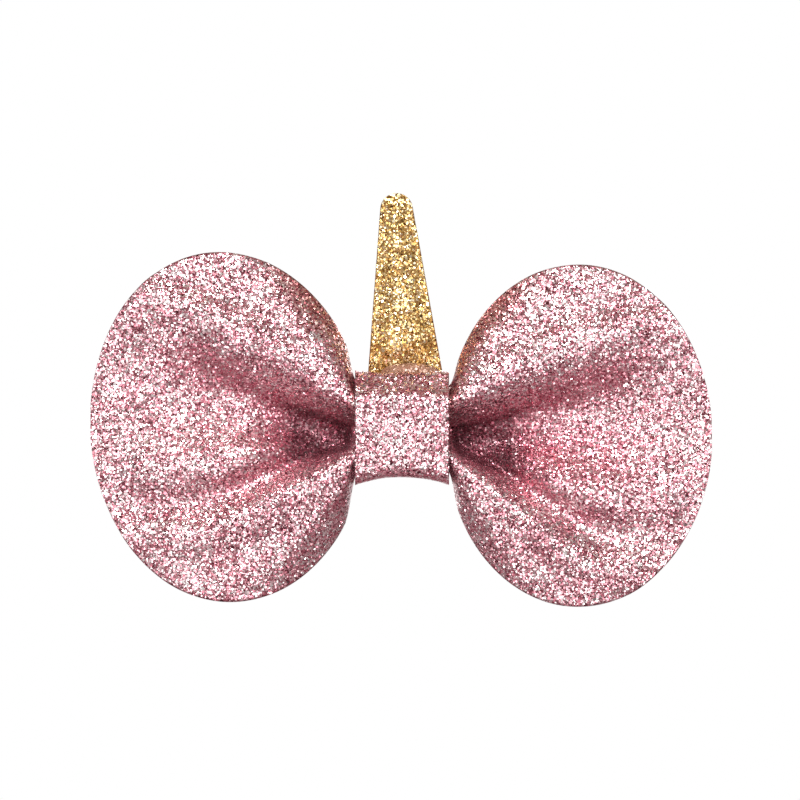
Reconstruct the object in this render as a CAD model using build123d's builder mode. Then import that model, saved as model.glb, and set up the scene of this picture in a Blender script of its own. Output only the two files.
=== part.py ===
"""Glitter hair bow with a gold horn, on a sprung alligator clip.  Millimetres, +Z up.

X runs along the bow's width, -Y is the side that faces forward when the bow is worn, and +Z is
where the horn points.  The origin is the middle of the clip's gripping face, behind the knot.
"""

from build123d import *

import os
from math import asin, atan2, cos, degrees, hypot, pi, radians, sin, sqrt

os.makedirs("parts", exist_ok=True)

# ---- driving sizes: the bow -------------------------------------------------------------------
SHEET = 0.8  # glitter cloth with its woven backing
BAND_WIDTH = 15.4
BAND_CLOTH = 0.8
BAND_TOP, BAND_BOTTOM = 9.0, -9.2
BAND_CREASE_Z = 4.8  # the band slopes back above this height
BAND_LAP_Z = 5.0  # how far the two ends pass the middle, at the back
WAIST_HALF = 7.0  # half height of the pinched cloth under the band
KNOT_UPPER_Z, KNOT_LOWER_Z = 3.6, -4.4  # the two ridges at the knot
KNOT_FLOOR_Z = -0.7  # the valley between them
FOLD_DEPTH = 5.2  # how far the ridges stand in front of the valley, under the band
WING_REACH = 51.2  # knot centre to wing tip
WAIST_REACH = 7.1  # the cloth is pinched evenly this far each way
WAIST_OPENING = 2.5  # and has opened out to the wing's outline this much further on
TIP_FLAT = 0.1  # the last sliver of each wing tip, left off
TIP_DEPTH = 3.7  # how far the flat wing tips stand in front of the same valley
KNOT_EDGE_DEPTH = 0.8  # the same for the two cut edges, beside the band
OPEN_DEPTH = {  # and for each fold line, from bottom to top, where a wing is widest
    "low": 4.7, "lower": 5.9, "groove": 3.2, "swell": 5.2, "valley": 1.0, "upper": 6.2, "high": 3.3,
}

# Each wing is two half ellipses on one upright axis, sheared a little. The last five numbers are
# the slopes at which its folds leave the knot, from the upper ridge down to the lower one.
WINGS = {
    -1: {
        "x": 29.2, "z": 0.0, "outer": 22.0, "inner": 22.9, "height": 28.6, "lean": 0.05,
        "upper": 0.60, "valley": 0.22, "swell": -0.26, "groove": -0.46, "lower": -0.54,
    },
    +1: {
        "x": 28.8, "z": -1.4, "outer": 22.1, "inner": 21.5, "height": 28.0, "lean": 0.0,
        "upper": 0.45, "valley": 0.09, "swell": -0.46, "groove": -0.67, "lower": -0.82,
    },
}

# ---- driving sizes: the horn ------------------------------------------------------------------
HORN_TIP_RADIUS = 2.7
HORN_TIP_X, HORN_TIP_Z = -0.9, 35.9
HORN_FOOT_Z = -4.0  # hidden foot, glued to the back of the band
HORN_ROOT_Z = 9.0  # where the horn comes out from behind the band
HORN_LEFT, HORN_RIGHT = -5.6, 6.7
HORN_CLOTH = 0.7
HORN_CROWN = 0.8  # how far the padding lifts the front cloth
HORN_CROWN_Z = 10.8  # where the padding starts
HORN_HEM = 1.3  # flat border where the two cloths are glued
CROWN_TAPER = 35  # degrees
BEAD_X, BEAD_Z, BEAD_WIDTH, BEAD_HEIGHT, BEAD_FORWARD = 1.5, 9.45, 8.6, 2.3, 2.4

# ---- driving sizes: the clip ------------------------------------------------------------------
STEEL = 0.6
RIBBON = 0.4
RIBBON_WIDTH = 9.4
PAD_LENGTH, PAD_HEIGHT = 13.0, 7.0
PIVOT_X, PIVOT_Y = 9.5, 2.3
JAW_TIP_X = -22.0
LEVER_LENGTH = 15.0
UPPER_SLOPE, LOWER_SLOPE = 14.0, 26.0  # degrees, the levers lean away from each other
UPPER_WIDTH, UPPER_TIP_WIDTH = 8.0, 6.0
LOWER_WIDTH, LOWER_LEVER_WIDTH = 5.6, 7.8
LOWER_WEB_Y = 4.6  # inner face of the lower jaw beside the spring
WEB_END_X, TOOTH_START_X = -3.0, -8.0
TOOTH_WEB_Y = 2.2  # inner face where the teeth are
TOOTH_TIP_Y, TOOTH_ROOT_Y = 0.1, 1.3
TOOTH_PITCH = 2.2
TEETH = 7
UPPER_EAR_GAP, LOWER_EAR_GAP = 8.4, 6.2
EAR_RADIUS = 1.7
BEND_CLEARANCE = 0.25  # the ears' web stops this far short of the pivot, where the lever bends away
PIN_RADIUS = 0.75
PIN_RUNNING_GAP = 0.05
PIN_HEAD_RADIUS, PIN_HEAD = 1.15, 0.45
WIRE = 0.7  # spring wire
COIL_RADIUS = 1.35  # to the middle of the wire
COIL_TURNS = 3
COIL_PITCH = 0.78
LEG = 10.0

# ---- the stack behind the knot, from the gripping face towards the bow ------------------------
GLUE_FILM = 0.2
PAD_THICKNESS = 0.5
THREAD = 0.3
THREAD_TURNS = 9
UPPER_INNER = -RIBBON
UPPER_OUTER = UPPER_INNER - STEEL
RIBBON_OUTER = UPPER_OUTER - RIBBON
PAD_FRONT = RIBBON_OUTER - PAD_THICKNESS
HORN_SEAM = PAD_FRONT - HORN_CLOTH
HORN_FACE = HORN_SEAM - HORN_CLOTH
LAP_BACK = HORN_FACE - GLUE_FILM
BAND_BACK = LAP_BACK - BAND_CLOTH - GLUE_FILM
PINCH_BACK = BAND_BACK - BAND_CLOTH - THREAD - 0.1
CLOTH_MIDDLE = PINCH_BACK - SHEET / 2
PINCH_FRONT = CLOTH_MIDDLE - FOLD_DEPTH - SHEET / 2
BAND_FRONT = PINCH_FRONT - THREAD - 0.1 - BAND_CLOTH


def save(part, name):
    """Labels a finished piece and writes it."""
    part.label = name
    export_step(part, f"parts/{name}.step")


# ---- bow sheet: one cut of cloth, pinched into an M at the knot -------------------------------
def ramp(value, low, high):
    """0 at low and 1 at high, level at both ends."""
    t = min(1.0, max(0.0, (value - low) / (high - low)))
    return (1 - cos(pi * t)) / 2


def mix(a, b, t):
    return a + (b - a) * t


def wing_edges(side, u):
    """Lowest and highest Z of the cloth at a distance u from the knot's middle."""
    wing = WINGS[side]
    radius = wing["outer"] if u > wing["x"] else wing["inner"]
    half = wing["height"] * sqrt(1 - min(1.0, abs(u - wing["x"]) / radius) ** 2)
    middle = wing["z"] + wing["lean"] * (u - wing["x"])
    opened = ramp(u, WAIST_REACH, WAIST_REACH + WAIST_OPENING)
    return mix(-WAIST_HALF, middle - half, opened), mix(WAIST_HALF, middle + half, opened)


def fold_lines(side, u):
    """(Z, depth) of edge, ridge, groove, swell, valley, ridge, edge. Depth is how far forward it is."""
    wing = WINGS[side]
    low, high = wing_edges(side, min(u, 0.93 * WING_REACH))
    run = max(0.0, u - WAIST_REACH)
    away = ramp(u, WAIST_REACH, 30)
    fade = ramp(u, 26, WING_REACH)  # the folds die out towards the tip
    upper = KNOT_UPPER_Z + wing["upper"] * run * (1 - 0.15 * fade)
    valley = KNOT_FLOOR_Z + 0.2 + wing["valley"] * run * (1 - 0.20 * fade)
    swell = KNOT_FLOOR_Z + wing["swell"] * run * (1 - 0.40 * fade)
    groove = KNOT_FLOOR_Z - 0.2 + wing["groove"] * run * (1 - 0.40 * fade)
    lower = KNOT_LOWER_Z + wing["lower"] * run * (1 - 0.40 * fade)
    heights = [min(low, lower - 7 * away), lower, groove, swell, valley, upper, max(high, upper + 7 * away)]
    at_knot = [KNOT_EDGE_DEPTH, FOLD_DEPTH, 0, 0, 0, FOLD_DEPTH, KNOT_EDGE_DEPTH]
    at_tip = [TIP_DEPTH + rise for rise in (0, 0.4, -0.1, 0.5, -0.5, 0.6, -0.4)]
    depths = [
        mix(mix(knot, opened, away), tip, fade)
        for knot, opened, tip in zip(at_knot, OPEN_DEPTH.values(), at_tip)
    ]
    return list(zip(heights, depths))


def fall_away(ridge, edge, z, away):
    """Depth between a ridge and a cut edge: rounded near the knot, rolled over further away."""
    t = (z - ridge[0]) / (edge[0] - ridge[0])
    rounded = 1 - cos(pi / 2 * t) if t < 1 else 1 + pi / 2 * (t - 1)
    rolled = 0.6 * ramp(t, 0, 0.5) + (0.4 * t * t if t < 1 else 0.4 + 0.8 * (t - 1))
    return mix(ridge[1], edge[1], mix(rounded, rolled, away))


def depth(x, z):
    """How far the cloth's middle stands in front of the rearmost fold."""
    lines = fold_lines(-1 if x < 0 else 1, abs(x))
    away = ramp(abs(x), 12, 28)
    if z <= lines[1][0]:
        return fall_away(lines[1], lines[0], z, away)
    for below, above in zip(lines[1:-1], lines[2:-1]):
        if z <= above[0]:
            return mix(below[1], above[1], ramp(z, below[0], above[0]))
    return fall_away(lines[-2], lines[-1], z, away)


def cloth_edge(x, out, points=36):
    """Points of a cut through the cloth at x, from bottom to top, moved out from its middle."""
    low, high = wing_edges(-1 if x < 0 else 1, abs(x))
    edge = []
    for i in range(points):
        z = mix(low, high, i / (points - 1))
        slope = (depth(x, z + 0.02) - depth(x, z - 0.02)) / 0.04
        share = out / hypot(1, slope)
        edge.append((CLOTH_MIDDLE - depth(x, z) - share, z - share * slope))
    return edge


def wing_stations(side, steps=12):
    """Distances from the knot at which a wing is cut through, closest where the outline is steep."""
    wing = WINGS[side]
    turns = [pi / 2 * i / steps for i in range(steps + 1)]
    inner = [mix(wing["x"], WAIST_REACH, cos(turn)) for turn in turns[:-1]]
    outer = [wing["x"] + (wing["outer"] - TIP_FLAT) * sin(turn) for turn in turns]
    return inner + outer


def cloth_section(x):
    """The cut through the cloth at x, as a thin folded band."""
    with BuildSketch(Plane.YZ.offset(x)) as section:
        with BuildLine():
            front = Spline(cloth_edge(x, SHEET / 2))
            back = Spline(cloth_edge(x, -SHEET / 2))
            Line(front @ 0, back @ 0)
            Line(front @ 1, back @ 1)
        make_face()
    return section.sketch


with BuildPart() as bow_sheet:
    for side in WINGS:
        loft([cloth_section(side * u) for u in wing_stations(side)], ruled=True)
    extrude(cloth_section(0), amount=WAIST_REACH, both=True)
save(bow_sheet.part, "bow_sheet")


# ---- waist thread: turns of sewing thread that hold the pinch, under the band -----------------
thread_front = PINCH_FRONT - THREAD / 2 - 0.03
thread_back = PINCH_BACK + THREAD / 2 + 0.03
thread_reach = WAIST_HALF + 0.6
thread_turn = [
    (thread_back, -thread_reach),
    (thread_back, thread_reach),
    (thread_front + 3.2, thread_reach),
    (thread_front, KNOT_UPPER_Z + 1.0),
    (thread_front, KNOT_LOWER_Z - 0.8),
    (thread_front + 2.8, -thread_reach),
]
with BuildPart() as waist_thread:
    for turn in range(THREAD_TURNS):
        x = (turn - (THREAD_TURNS - 1) / 2) * THREAD * 0.94
        with BuildLine(Plane.YZ.offset(x)) as loop:
            FilletPolyline(thread_turn, radius=0.5, close=True)
        with BuildSketch(Plane((x, thread_back, 0), x_dir=(1, 0, 0), z_dir=(0, 0, 1))):
            Circle(THREAD / 2)
        sweep(path=loop.line)
save(waist_thread.part, "waist_thread")


# ---- centre band: a strip wrapped over the pinch, its ends lapped at the back -----------------
inner_y = BAND_BACK - BAND_CLOTH / 2
outer_y = LAP_BACK - BAND_CLOTH / 2
front_y = BAND_FRONT + BAND_CLOTH / 2
top_z, bottom_z = BAND_TOP - BAND_CLOTH / 2, BAND_BOTTOM + BAND_CLOTH / 2
with BuildPart() as center_band:
    with BuildSketch(Plane.YZ):
        with BuildLine():
            FilletPolyline(
                (inner_y, -BAND_LAP_Z),
                (inner_y, top_z),
                (front_y + 3.4, top_z),
                (front_y, BAND_CREASE_Z),
                (front_y, bottom_z),
                (outer_y, bottom_z),
                (outer_y, BAND_LAP_Z),
                radius=(1.0, 1.2, 1.2, 1.6, 1.0),
            )
        trace(line_width=BAND_CLOTH)
    extrude(amount=BAND_WIDTH / 2, both=True)
save(center_band.part, "center_band")

with BuildPart() as band_seam_glue:
    with Locations((0, BAND_BACK + GLUE_FILM / 2, 0)):
        Box(BAND_WIDTH - 2.4, GLUE_FILM, 2 * BAND_LAP_Z - 1.0)
save(band_seam_glue.part, "band_seam_glue")


# ---- horn: two cloths with a pad between them, glued behind the band --------------------------
def horn_outline(plane, inset=0.0):
    """The horn's front view, cut back by inset, and then only its raised part above the root."""
    with BuildSketch(plane) as outline:
        with BuildLine():
            CenterArc((HORN_TIP_X, HORN_TIP_Z), HORN_TIP_RADIUS, 0, 360)
            foot = [(HORN_LEFT, HORN_FOOT_Z), (HORN_RIGHT, HORN_FOOT_Z)]
            Polyline(foot + [(HORN_RIGHT, HORN_ROOT_Z), (HORN_LEFT, HORN_ROOT_Z)], close=True)
        make_hull()
        if inset:
            offset(amount=-inset)
            with Locations(((HORN_LEFT + HORN_RIGHT) / 2, HORN_CROWN_Z + 20)):
                Rectangle(40, 40, mode=Mode.INTERSECT)
    return outline.sketch


seam_plane = Plane.XZ.offset(-HORN_SEAM)
with BuildPart() as horn_padding:
    extrude(horn_outline(seam_plane, HORN_HEM), amount=HORN_CROWN, taper=CROWN_TAPER)
save(horn_padding.part, "horn_padding")

with BuildPart() as horn_front:
    extrude(horn_outline(seam_plane), amount=HORN_CLOTH)
    extrude(horn_outline(seam_plane, HORN_HEM / 2), amount=HORN_CROWN + HORN_CLOTH, taper=CROWN_TAPER)
    add(horn_padding.part, mode=Mode.SUBTRACT)
save(horn_front.part, "horn_front")

with BuildPart() as horn_back:
    extrude(horn_outline(seam_plane), amount=-HORN_CLOTH)
save(horn_back.part, "horn_back")

with BuildPart() as horn_root_glue:
    with BuildSketch(Plane.XZ.offset(-HORN_FACE)):
        with Locations((BEAD_X, BEAD_Z)):
            SlotOverall(BEAD_WIDTH, BEAD_HEIGHT)
    extrude(amount=BEAD_FORWARD)
    fillet(horn_root_glue.faces().sort_by(Axis.Y)[0].edges(), radius=0.8)
    filled = HORN_FACE - BAND_BACK
    with Locations((BEAD_X, HORN_FACE, BAND_TOP)):
        Box(BEAD_WIDTH / 2, filled, BAND_TOP - BAND_LAP_Z, align=(Align.CENTER, Align.MAX, Align.MAX))
    with Locations((0, LAP_BACK, HORN_FOOT_Z + 0.5)):
        Box(BAND_WIDTH - 5, GLUE_FILM, 10, align=(Align.CENTER, Align.MIN, Align.MIN))
    add(center_band.part, mode=Mode.SUBTRACT)
save(horn_root_glue.part, "horn_root_glue")


# ---- clip: glue pad, ribbon and the two jaws --------------------------------------------------
with BuildPart() as clip_glue_pad:
    with Locations((-0.5, PAD_FRONT, 0)):
        Box(PAD_LENGTH, PAD_THICKNESS, PAD_HEIGHT, align=(Align.CENTER, Align.MIN, Align.CENTER))
    fillet(clip_glue_pad.edges().filter_by(Axis.Y), radius=2.0)
save(clip_glue_pad.part, "clip_glue_pad")

with BuildPart() as clip_ribbon:
    with BuildSketch():
        with BuildLine():
            turn_x = JAW_TIP_X - RIBBON / 2
            ribbon_back, ribbon_front = -RIBBON / 2, RIBBON_OUTER + RIBBON / 2
            Polyline((8.5, ribbon_front), (turn_x, ribbon_front), (turn_x, ribbon_back), (6, ribbon_back))
        trace(line_width=RIBBON)
    extrude(amount=RIBBON_WIDTH / 2, both=True)
save(clip_ribbon.part, "clip_ribbon")


def bent_plate(path, outline):
    """Sheet steel bent along a path in the XY plane and cut to an outline in the XZ plane."""
    with BuildPart() as plate:
        with BuildSketch():
            with BuildLine():
                FilletPolyline(path, radius=1.0)
            trace(line_width=STEEL)
        extrude(amount=10, both=True)
        with BuildSketch(Plane.XZ):
            with BuildLine():
                FilletPolyline(outline, radius=1.2, close=True)
            make_face()
        extrude(amount=20, both=True, mode=Mode.INTERSECT)
    return plate.part


def lever_end(y, slope):
    """Far end of a lever that leaves the pivot at height y."""
    return PIVOT_X + LEVER_LENGTH * cos(radians(slope)), y + LEVER_LENGTH * sin(radians(slope))


def ear_pair(gap, web_y, outside_y, hole):
    """Two ears on either side of the pin, joined by the stretch of web they are bent from."""
    web_middle_y = (web_y + outside_y) / 2
    web_length = EAR_RADIUS - BEND_CLEARANCE
    with BuildPart() as pair:
        with BuildSketch(Plane.XY.offset(gap / 2)):
            with Locations((PIVOT_X, PIVOT_Y)):
                Circle(EAR_RADIUS)
            with Locations((PIVOT_X - EAR_RADIUS, web_middle_y)):
                Rectangle(web_length, STEEL, align=(Align.MIN, Align.CENTER))
            make_hull()
            with Locations((PIVOT_X, PIVOT_Y)):
                Circle(hole, mode=Mode.SUBTRACT)
        extrude(amount=STEEL)
        mirror(about=Plane.XY)
        with Locations((PIVOT_X - EAR_RADIUS, web_middle_y, 0)):
            Box(web_length, STEEL, gap + 2 * STEEL, align=(Align.MIN, Align.CENTER, Align.CENTER))
    return pair.part


upper_middle = (UPPER_INNER + UPPER_OUTER) / 2
upper_end = lever_end(upper_middle, -UPPER_SLOPE)
with BuildPart() as clip_upper_jaw:
    add(
        bent_plate(
            [(JAW_TIP_X, upper_middle), (PIVOT_X, upper_middle), upper_end],
            [
                (JAW_TIP_X, UPPER_TIP_WIDTH / 2),
                (2, UPPER_WIDTH / 2),
                (upper_end[0], UPPER_WIDTH / 2),
                (upper_end[0], -UPPER_WIDTH / 2),
                (2, -UPPER_WIDTH / 2),
                (JAW_TIP_X, -UPPER_TIP_WIDTH / 2),
            ],
        )
    )
    add(ear_pair(UPPER_EAR_GAP, UPPER_INNER, UPPER_OUTER, PIN_RADIUS))
save(clip_upper_jaw.part, "clip_upper_jaw")

web_middle = LOWER_WEB_Y + STEEL / 2
lower_end = lever_end(web_middle, LOWER_SLOPE)
tooth_end_x = JAW_TIP_X + 1.4 + TEETH * TOOTH_PITCH
with BuildPart() as clip_lower_jaw:
    add(
        bent_plate(
            [
                (JAW_TIP_X, TOOTH_WEB_Y + 1.6),
                (JAW_TIP_X + 1.6, TOOTH_WEB_Y + STEEL / 2),
                (TOOTH_START_X, TOOTH_WEB_Y + STEEL / 2),
                (WEB_END_X, web_middle),
                (PIVOT_X, web_middle),
                lower_end,
            ],
            [
                (JAW_TIP_X - 1, LOWER_WIDTH / 2),
                (PIVOT_X, LOWER_WIDTH / 2),
                (PIVOT_X + 2, LOWER_LEVER_WIDTH / 2),
                (lower_end[0], LOWER_LEVER_WIDTH / 2),
                (lower_end[0], -LOWER_LEVER_WIDTH / 2),
                (PIVOT_X + 2, -LOWER_LEVER_WIDTH / 2),
                (PIVOT_X, -LOWER_WIDTH / 2),
                (JAW_TIP_X - 1, -LOWER_WIDTH / 2),
            ],
        )
    )
    add(ear_pair(LOWER_EAR_GAP, LOWER_WEB_Y, LOWER_WEB_Y + STEEL, PIN_RADIUS + PIN_RUNNING_GAP))
    with BuildSketch(Plane.XY.offset(LOWER_WIDTH / 2 - STEEL)):
        with BuildLine():
            teeth = [(tooth_end_x - TEETH * TOOTH_PITCH, TOOTH_WEB_Y + 0.2)]
            for i in range(TEETH):
                x = teeth[0][0] + i * TOOTH_PITCH
                teeth += [(x, TOOTH_TIP_Y), (x + 0.3, TOOTH_TIP_Y), (x + TOOTH_PITCH - 0.3, TOOTH_ROOT_Y)]
            web_slope = (LOWER_WEB_Y - TOOTH_WEB_Y) / (WEB_END_X - TOOTH_START_X)
            corner_y = TOOTH_WEB_Y + 0.2 + web_slope * (tooth_end_x - TOOTH_START_X)
            teeth += [(tooth_end_x, corner_y), (TOOTH_START_X, TOOTH_WEB_Y + 0.2)]
            Polyline(teeth, close=True)
        make_face()
    wall = extrude(amount=STEEL)
    mirror(wall, about=Plane.XY)
save(clip_lower_jaw.part, "clip_lower_jaw")


# ---- clip: hinge pin and torsion spring -------------------------------------------------------
pin_length = UPPER_EAR_GAP + 2 * STEEL + 0.1
with BuildPart(Plane((PIVOT_X, PIVOT_Y, 0))) as clip_hinge_pin:
    Cylinder(PIN_RADIUS, pin_length)
    for sense in (-1, 1):
        with Locations((0, 0, sense * (pin_length + PIN_HEAD) / 2)):
            Cylinder(PIN_HEAD_RADIUS, PIN_HEAD)
    fillet(clip_hinge_pin.edges().group_by(Axis.Z)[0] + clip_hinge_pin.edges().group_by(Axis.Z)[-1], 0.2)
save(clip_hinge_pin.part, "clip_hinge_pin")


def leg_angle(lever_middle, slope):
    """Angle from the X axis to a spring leg whose tip rests on a lever's inner face, in radians."""
    face = abs(lever_middle - PIVOT_Y) * cos(radians(slope)) - STEEL / 2
    reach = face - WIRE / 2 - 0.01
    return radians(slope) + asin(reach / hypot(COIL_RADIUS, LEG)) - atan2(COIL_RADIUS, LEG)


lower_leg = leg_angle(web_middle, LOWER_SLOPE)
upper_leg = leg_angle(upper_middle, UPPER_SLOPE)
turns = COIL_TURNS + (pi - lower_leg - upper_leg) / (2 * pi)
coil_height = turns * COIL_PITCH
coil_base = Pos(PIVOT_X, PIVOT_Y, -coil_height / 2) * Rot(0, 0, 90 + degrees(lower_leg))
coil = coil_base * Helix(COIL_PITCH, coil_height, COIL_RADIUS)
with BuildPart() as clip_spring:
    with BuildLine() as wire:
        Line(coil @ 0 - (coil % 0) * LEG, coil @ 0)
        add(coil)
        Line(coil @ 1, coil @ 1 + (coil % 1) * LEG)
    with BuildSketch(Plane(wire.line @ 0, z_dir=wire.line % 0)):
        Circle(WIRE / 2)
    sweep(path=wire.line)
save(clip_spring.part, "clip_spring")
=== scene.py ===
"""Looks of the glitter hair bow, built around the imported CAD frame.

Shapes are worked out in millimetres and written to the meshes in metres. X runs along the bow, -Y is
its front and +Z is where the horn points.
"""

import math

import bmesh
import bpy
import numpy as np
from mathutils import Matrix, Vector


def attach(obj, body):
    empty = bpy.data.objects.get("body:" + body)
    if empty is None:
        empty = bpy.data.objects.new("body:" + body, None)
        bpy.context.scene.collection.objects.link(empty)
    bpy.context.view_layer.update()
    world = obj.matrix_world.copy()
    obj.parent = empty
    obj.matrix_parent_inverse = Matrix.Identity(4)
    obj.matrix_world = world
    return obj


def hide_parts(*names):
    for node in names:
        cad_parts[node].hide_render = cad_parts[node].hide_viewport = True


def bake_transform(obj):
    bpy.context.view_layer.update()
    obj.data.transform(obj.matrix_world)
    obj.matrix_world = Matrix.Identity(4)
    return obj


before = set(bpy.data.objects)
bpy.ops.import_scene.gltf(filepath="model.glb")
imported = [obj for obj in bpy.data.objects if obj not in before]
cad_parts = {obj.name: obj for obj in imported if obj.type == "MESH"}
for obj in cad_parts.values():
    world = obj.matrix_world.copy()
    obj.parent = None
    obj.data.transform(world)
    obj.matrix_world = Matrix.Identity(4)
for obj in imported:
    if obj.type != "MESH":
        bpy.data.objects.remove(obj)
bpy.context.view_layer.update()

MM = 0.001
PI = math.pi

# ---- sizes shared with the CAD part, in millimetres ----------------------------------------------
SHEET = 0.8
WAIST_HALF, WAIST_REACH, WAIST_OPENING = 7.0, 7.1, 2.5
WING_REACH, TIP_FLAT, TIP_DEPTH = 51.2, 0.1, 3.7
FOLD_DEPTH, KNOT_EDGE_DEPTH = 5.2, 0.8
OPEN_DEPTH = {
    "low": 4.7, "lower": 5.9, "groove": 3.2, "swell": 5.2, "valley": 1.0, "upper": 6.2, "high": 3.3,
}
KNOT_UPPER_Z, KNOT_FLOOR_Z, KNOT_LOWER_Z = 3.6, -0.7, -4.4
WINGS = {
    -1: {
        "x": 29.2, "z": 0.0, "outer": 22.0, "inner": 22.9, "height": 28.6, "lean": 0.05,
        "upper": 0.60, "valley": 0.22, "swell": -0.26, "groove": -0.46, "lower": -0.54,
    },
    +1: {
        "x": 28.8, "z": -1.4, "outer": 22.1, "inner": 21.5, "height": 28.0, "lean": 0.0,
        "upper": 0.45, "valley": 0.09, "swell": -0.46, "groove": -0.67, "lower": -0.82,
    },
}
CLOTH_MIDDLE = -6.1  # Y of the bow cloth's rearmost fold, at the middle of its thickness

# ---- what the finished bow cloth has beyond the plain folds, in millimetres ----------------------
PIT_DEPTH = 2.7  # how much further back the cloth is drawn beside the knot
LEFT_HOLLOW, RIGHT_HOLLOW = 0.6, 0.9  # how much flatter the floor between swell and valley is
PLEAT_DEPTH, DENT_DEPTH = 0.16, 0.22

# ---- how strongly painted shade darkens each part of the folds, 0 to 1 and over, cut off at 1 -----
PIT_SHADE, WALL_SHADE, GROOVE_SHADE = 1.5, 0.56, 0.45
LEFT_FLOOR_SHADE, RIGHT_FLOOR_SHADE = 0.08, 0.38


# ---- small maths ------------------------------------------------------------------------------
def ramp(value, low, high):
    """0 at low and 1 at high, level at both ends."""
    t = np.clip((value - low) / (high - low), 0.0, 1.0)
    return (1 - np.cos(PI * t)) / 2


def mix(a, b, t):
    return a + (b - a) * t


def waves(a, b, seed, count=7, low=0.05, high=0.16):
    """Smooth seeded unevenness over two coordinates in millimetres, about -1 to 1."""
    rng = np.random.default_rng(seed)
    total = np.zeros(np.broadcast(a, b).shape)
    for _ in range(count):
        angle, pace, phase = rng.uniform(0, PI), rng.uniform(low, high) * 2 * PI, rng.uniform(0, 2 * PI)
        total += np.sin(pace * (a * math.cos(angle) + b * math.sin(angle)) + phase)
    return total / math.sqrt(count * 2)


# ---- the bow cloth's folds ----------------------------------------------------------------------
def wing_edges(side, u):
    """Lowest and highest Z of the cloth at a distance u from the knot's middle."""
    wing = WINGS[side]
    radius = np.where(u > wing["x"], wing["outer"], wing["inner"])
    half = wing["height"] * np.sqrt(1 - np.minimum(1.0, np.abs(u - wing["x"]) / radius) ** 2)
    middle = wing["z"] + wing["lean"] * (u - wing["x"])
    opened = ramp(u, WAIST_REACH, WAIST_REACH + WAIST_OPENING)
    return mix(-WAIST_HALF, middle - half, opened), mix(WAIST_HALF, middle + half, opened)


def fold_lines(side, u):
    """(Z, depth) of edge, ridge, groove, swell, valley, ridge, edge. Depth is how far forward it is."""
    wing = WINGS[side]
    low, high = wing_edges(side, np.minimum(u, 0.93 * WING_REACH))
    run = np.maximum(0.0, u - WAIST_REACH)
    away = ramp(u, WAIST_REACH, 30)
    fade = ramp(u, 26, WING_REACH)
    upper = KNOT_UPPER_Z + wing["upper"] * run * (1 - 0.15 * fade)
    valley = KNOT_FLOOR_Z + 0.2 + wing["valley"] * run * (1 - 0.20 * fade)
    swell = KNOT_FLOOR_Z + wing["swell"] * run * (1 - 0.40 * fade)
    groove = KNOT_FLOOR_Z - 0.2 + wing["groove"] * run * (1 - 0.40 * fade)
    lower = KNOT_LOWER_Z + wing["lower"] * run * (1 - 0.40 * fade)
    heights = [
        np.minimum(low, lower - 7 * away), lower, groove, swell, valley, upper,
        np.maximum(high, upper + 7 * away),
    ]
    at_knot = [KNOT_EDGE_DEPTH, FOLD_DEPTH, 0, 0, 0, FOLD_DEPTH, KNOT_EDGE_DEPTH]
    at_tip = [TIP_DEPTH + rise for rise in (0, 0.4, -0.1, 0.5, -0.5, 0.6, -0.4)]
    depths = [
        mix(mix(knot, opened, away), tip, fade)
        for knot, opened, tip in zip(at_knot, OPEN_DEPTH.values(), at_tip)
    ]
    return list(zip(heights, depths))


def fall_away(ridge, edge, z, away):
    """Depth between a ridge and a cut edge: rounded near the knot, rolled over further away."""
    t = np.maximum(0.0, (z - ridge[0]) / (edge[0] - ridge[0]))
    rounded = np.where(t < 1, 1 - np.cos(PI / 2 * t), 1 + PI / 2 * (t - 1))
    rolled = 0.6 * ramp(t, 0, 0.5) + np.where(t < 1, 0.4 * t * t, 0.4 + 0.8 * (t - 1))
    return mix(ridge[1], edge[1], mix(rounded, rolled, away))


def side_depth(side, u, z):
    """How far the cloth's middle stands in front of the rearmost fold, on one wing."""
    lines = fold_lines(side, u)
    away = ramp(u, 12, 28)
    depth = fall_away(lines[1], lines[0], z, away)
    for below, above in zip(lines[1:-1], lines[2:-1]):
        between = mix(below[1], above[1], ramp(z, below[0], above[0]))
        depth = np.where(z > below[0], between, depth)
    return np.where(z >= lines[-2][0], fall_away(lines[-2], lines[-1], z, away), depth)


def depth(x, z):
    u = np.abs(x)
    return np.where(x < 0, side_depth(-1, u, z), side_depth(1, u, z))


def line_heights(x):
    """Z of the seven fold lines at x, whichever wing it is on."""
    u = np.abs(x)
    pairs = zip(fold_lines(-1, u), fold_lines(1, u))
    return [np.where(x < 0, left[0], right[0]) for left, right in pairs]


def pinch(x, z):
    """Share of the pit beside the knot, 0 to 1: the fold's floor is drawn in further than at the band."""
    u = np.abs(x)
    lines = line_heights(x)
    lower, upper = lines[1], lines[5]
    floor = mix(0.24, 0.40, ramp(u, 9, 20))
    below = ramp(z, lower, mix(lower, upper, floor))
    within = below * (1 - ramp(z, mix(lower, upper, floor + 0.06), upper))
    return ramp(u, 7.4, 9.6) * (1 - ramp(u, 12.0, 26.0)) * within**2


def settled(x, z):
    """How far forward the finished cloth is of the plain folds: flatter floors, pits at the knot."""
    u = np.abs(x)
    lines = line_heights(x)
    swell, valley = lines[3], lines[4]
    floor = np.sin(PI * np.clip((z - swell) / (valley - swell + 0.01), 0, 1)) ** 2
    hollow = np.where(x < 0, LEFT_HOLLOW, RIGHT_HOLLOW) * floor * ramp(u, 10, 22) * (1 - ramp(u, 28, 46))
    return -hollow - PIT_DEPTH * pinch(x, z)


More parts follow.
